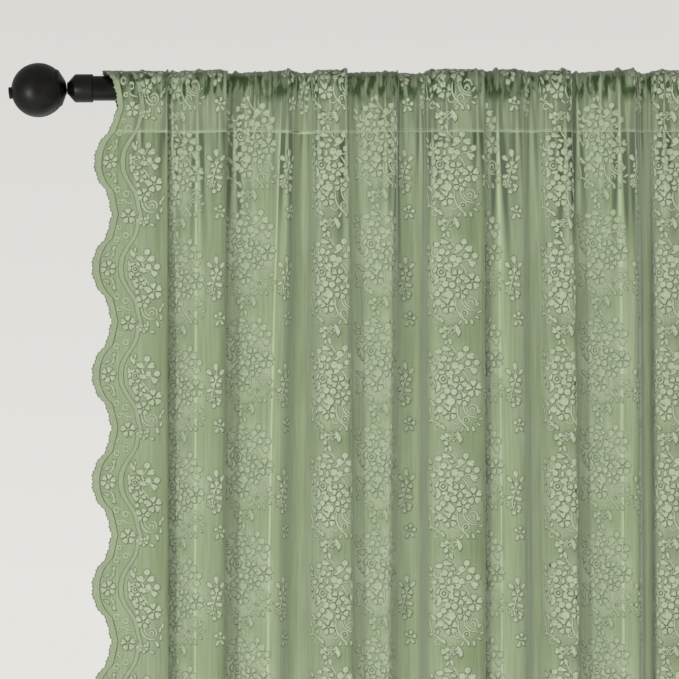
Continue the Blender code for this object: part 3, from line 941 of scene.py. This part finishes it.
def half_bouquet():
    """The figures that grow inward from the inner band at each lobe, from the lobe's outermost line."""
    made = berry(57.8, 16.2, 3.5) + berry(51.2, 9.6, 3.4) + petal(57, 7.6, 18, 9, 6.6)
    made += stem([(57.6, 13), (55.4, 8.6), (51, 4.4)], 1.3) + berry(59.2, 1.2, 3.3) + berry(68, 1.2, 3.5)
    made += petal(61, -2.2, -40, 9, 6) + berry(54.4, -2.4, 2.9)
    made += stem([(64.6, 0.4), (60, -2.6), (56, -4)], 1.2)
    made += rose(45.4, -1.2, 7.8, 30) + leaf(40.6, 20, -72, 9, 3.6) + leaf(44.6, 17, -96, 7, 3.2)
    made += leaf(46.6, 12.6, -60, 6, 3.2) + leaf(45, 21.6, -78, 5.4, 2.8) + leaf(38.6, 8, -84, 8, 3.2)
    made += leaf(38.8, -4.4, -70, 8.4, 3.2) + leaf(42.4, -11.4, -62, 8, 3.4)
    made += leaf(52, 5.4, -60, 5.6, 3)
    made += stem([(52.4, -7.4), (55.8, -11.4), (59.8, -17.4)], 1.5)
    made += flower(50.2, -15.4, 6.4, 5, 70) + flower(65, -23.5, 8.2, 5, 100)
    made += flower(53.6, -34.4, 6.8, 5, 80)
    made += berry(56.4, -21, 2.4) + berry(47.4, -24.6, 2.6) + leaf(49, -28.4, -120, 6, 2.8)
    made += stem([(51.6, -40), (53.4, -47), (58, -51.6), (66, -52.2)], 1.6)
    made += stem([(55, -41.4), (57, -46.4), (61.4, -49.4)], 1.3)
    made += arc(63, -45.4, 5, 150, -60, 1.5) + arc(62.6, -46.2, 2.3, 210, -80, 1.4)
    made += leaf(72, -39, -100, 6.5, 2.8) + leaf(75, -35, -108, 6, 2.6) + leaf(72.5, -47, -96, 6.5, 2.8)
    made += leaf(67, -53, -70, 8, 3.6) + leaf(57.8, -53.6, -80, 7, 3)
    made += flower(54, -61.5, 4.8, 5, 60) + leaf(49.5, -57, -120, 6.5, 3) + leaf(59.5, -64, -20, 6.5, 3)
    return made


def border_shapes(mirrored):
    """One repeat of the border about a lobe's middle, in mm from the lobes' outermost line."""
    pitch = SCALLOP_PITCH * 1000
    fine = np.linspace(-pitch / 2, pitch / 2, 113)
    edge = edge_inset(FIRST_LOBE - fine / 1000) * 1000
    turns = fine * 2 * math.pi / pitch
    picots = 0.55 + 0.45 * np.cos(turns * 27) + 0.4 * np.cos(turns * 8)
    near = edge + 0.15 + 1.4 * picots
    made = strip(near, edge + 9.2 - np.abs(fine) / (pitch / 2) * 0.9 - near, fine)
    heights = np.linspace(-pitch / 2, pitch / 2, 37)
    inside = np.interp(np.abs(heights), INNER_HEIGHTS, INNER_BAND)
    made += strip(inside, 6.2 - 1.2 * np.abs(heights) / (pitch / 2), heights)
    made += flower(17.8, 0, 7.8, 6, 80)
    for side in (1, -1):
        made += leaf(16, 11.5 * side, 60 * side, 5.5, 2.4) + leaf(13, 12 * side, 20 * side, 5, 2)
        made += leaf(22, 11 * side, 75 * side, 6, 2.6) + leaf(24.5, 16.5 * side, 110 * side, 6, 2.4)
        made += leaf(21.5, 19 * side, 40 * side, 5.5, 2.2)
        made += stem([(20, 8 * side), (22.5, 14 * side), (25, 21 * side)], 1)
        dip = -pitch / 2 * side
        made += arc(26.4, dip + 25.4 * side, 2.7, 0, 360, 1.7)
        made += arc(35.8, dip + 21.2 * side, 2.8, 0, 360, 1.7)
        made += arc(29.5, dip + 13 * side, 2.1, 0, 360, 1.5)
    made += stem([(31, pitch / -2 + 17), (36, pitch / -2 + 12.5), (44, pitch / -2 + 10.5)], 1.2)
    made += flower(38.2, pitch / -2 - 1.5, 7.6, 5, 85 if mirrored else 95)
    made += half_bouquet()
    if not mirrored:
        return made
    flipped = []
    for kind, *rest in made:
        paths = [path * (-1.0, 1.0) for path in rest if isinstance(path, np.ndarray)]
        sizes = [size for size in rest if not isinstance(size, np.ndarray)]
        if kind == "band":
            paths = paths[::-1]
        flipped.append((kind, *paths, *sizes))
    return flipped


for name, mirrored, start in (("border_left", False, 0.0), ("border_right", True, FLAT_WIDTH)):
    first = (start, SCALLOP_PITCH - FIRST_LOBE)
    cloth_pieces.append(laid(name, border_shapes(mirrored), 1, 20, (0.0, SCALLOP_PITCH), first, figure_yarn))

# ---- pocket seam and hem -------------------------------------------------------------------------------
# One row of lockstitch in matching thread closes the rod pocket, and one holds the turned hem. Every stitch
# is a short plump bead of thread that dips into the cloth at its two ends.

STITCH_PITCH = 0.003
FIRST_STITCH = 0.025
ABOVE_SEAM = 0.001
HEM_DEPTH = 0.022


def stitch_shapes():
    """One stitch of thread, in mm."""
    return [("ridge", np.array([(-1.3, 0.0), (0.0, 0.0), (1.3, 0.0)]), 0.6, 0.6)]


thread = new_material("sage sewing thread", Base_Color=linear("adb79f"), Roughness=0.6)[0]
count = int((FLAT_WIDTH - 2 * FIRST_STITCH) / STITCH_PITCH)
for name, depth in (("pocket_stitches", SEAM_DEPTH - ABOVE_SEAM), ("hem_stitches", DROP - HEM_DEPTH)):
    first = (FIRST_STITCH, -depth)
    cloth_pieces.append(laid(name, stitch_shapes(), count, 1, (STITCH_PITCH, 0.0), first, thread, 0.0002))

# ---- rod and finials -----------------------------------------------------------------------------------
# The rod, its end collars and the two ball finials are turned steel with a satin black-bronze enamel, baked
# on. Handling and house dust have dulled it in soft patches.


def enamel_material():
    """Thin satin enamel, nearly black, with the dust's paler and duller patches."""
    made, tree, shader = new_material("satin black-bronze enamel", IOR=1.5, Specular_IOR_Level=0.36)
    place = add(tree, "ShaderNodeTexCoord").outputs["Object"]
    dust = noise(tree, place, 55.0, 4.0, 0.6)
    colour = mixed(tree, ranged(tree, dust, 0.42, 0.75), "040303", "141310")
    tree.links.new(colour, shader.inputs["Base Color"])
    tree.links.new(ranged(tree, dust, 0.3, 0.7, 0.30, 0.42), shader.inputs["Roughness"])
    return made


WELD_DISTANCE = 0.00001
SHARP_ANGLE = math.radians(32.0)


def rounding_tree():
    """Nodes that weld a turned piece's facets and shade it smooth but for its sharp edges."""
    tree = bpy.data.node_groups.new("turned rounding", "GeometryNodeTree")
    for way in ("INPUT", "OUTPUT"):
        tree.interface.new_socket("Geometry", in_out=way, socket_type="NodeSocketGeometry")
    coming = tree.nodes.new("NodeGroupInput").outputs[0]
    welded = add(tree, "GeometryNodeMergeByDistance", {0: coming, "Distance": WELD_DISTANCE}).outputs[0]
    plain = add(tree, "GeometryNodeRemoveAttribute", {0: welded, "Name": "custom_normal"}).outputs[0]
    smooth = add(tree, "GeometryNodeSetShadeSmooth", {0: plain}).outputs[0]
    turn = add(tree, "GeometryNodeInputMeshEdgeAngle").outputs["Unsigned Angle"]
    soft = add(tree, "FunctionNodeCompare", {"A": turn, "B": SHARP_ANGLE}, operation="LESS_THAN").outputs[0]
    edged = {0: smooth, "Shade Smooth": soft}
    edged = add(tree, "GeometryNodeSetShadeSmooth", edged, domain="EDGE").outputs[0]
    tree.links.new(edged, tree.nodes.new("NodeGroupOutput").inputs[0])
    return tree


enamel = enamel_material()
rounding = rounding_tree()
for name in ("rod", "finial_collar_left", "finial_collar_right", "finial_ball_left", "finial_ball_right"):
    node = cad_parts[name]
    node.data.materials.clear()
    node.data.materials.append(enamel)
    node.modifiers.new("rounding", "NODES").node_group = rounding

# ---- room ----------------------------------------------------------------------------------------------
# A plain pale floor just under the hem and a pale room all round. A soft window at the left, a broad fill
# from the front and one behind light the lace, and the camera stands square to the curtain's top left.

FLOOR_HALF = 4.0
FLOOR_LEVEL = -DROP - 0.007
corners = [(-1, -1), (1, -1), (1, 1), (-1, 1)]
corners = [(x * FLOOR_HALF, y * FLOOR_HALF, FLOOR_LEVEL) for x, y in corners]
floor = new_object("floor", corners, [(0, 1, 2, 3)])
floor.data.materials.append(new_material("pale floor", Base_Color=linear("e3e2de"), Roughness=0.9)[0])

world = bpy.data.worlds.new("daylight")
world.use_nodes = True
tree = world.node_tree
# The room seen behind the lace is painted darker towards the top as wall shade; the lace is lit by an even,
# dimmer room
facing = add(tree, "ShaderNodeTexCoord").outputs["Generated"]
upward = add(tree, "ShaderNodeSeparateXYZ", {0: facing}).outputs[2]
shown = tree.nodes["Background"]
tree.links.new(mixed(tree, ranged(tree, upward, -0.06, 0.16), "e5e4e0", "d5d4d0"), shown.inputs[0])
ambient = add(tree, "ShaderNodeBackground", {0: "e5e4e0", 1: 0.42}).outputs[0]
seen = add(tree, "ShaderNodeLightPath").outputs["Is Camera Ray"]
either = add(tree, "ShaderNodeMixShader", {0: seen, 1: ambient, 2: shown.outputs[0]}).outputs[0]
tree.links.new(either, tree.nodes["World Output"].inputs[0])
bpy.context.scene.world = world


def soft_light(name, place, target, width, height, power, mirrored=False):
    """An area lamp towards the target; only a mirrored one shows as a highlight."""
    lamp = bpy.data.lights.new(name, "AREA")
    lamp.shape = "ELLIPSE" if mirrored else "RECTANGLE"
    lamp.size = width
    lamp.size_y = height
    lamp.energy = power
    made = bpy.data.objects.new(name, lamp)
    made.location = place
    made.rotation_euler = (Vector(place) - Vector(target)).to_track_quat("Z", "Y").to_euler()
    made.visible_camera = False
    made.visible_glossy = mirrored
    bpy.context.scene.collection.objects.link(made)


# Middle of the camera's frame, which the front lights face too
MIDDLE = (-0.1145, 0.0, -0.2575)
soft_light("window", (-2.3, -2.4, -0.9), MIDDLE, 0.45, 1.2, 36.0, True)
soft_light("fill", (0.3, -3.6, -0.4), MIDDLE, 2.4, 2.4, 96.0)
soft_light("back", (0.6, 3.6, -0.6), (0.0, 0.0, -1.0), 3.0, 2.4, 110.0)

# Width of the camera's frame at the foremost folds, how far those stand before the rod's axis, and the
# camera's distance from that axis
FRAME_WIDTH = 0.6926
NEAREST_FOLD = 0.02
DISTANCE = 4.0

camera_data = bpy.data.cameras.new("camera")
camera_data.lens = camera_data.sensor_width * (DISTANCE - NEAREST_FOLD) / FRAME_WIDTH
camera = bpy.data.objects.new("camera", camera_data)
camera.location = (MIDDLE[0], -DISTANCE, MIDDLE[2])
camera.rotation_euler = (math.pi / 2, 0.0, 0.0)
bpy.context.scene.collection.objects.link(camera)
bpy.context.scene.camera = camera
bpy.context.scene.view_settings.view_transform = "Standard"

bpy.data.objects.remove(guide)
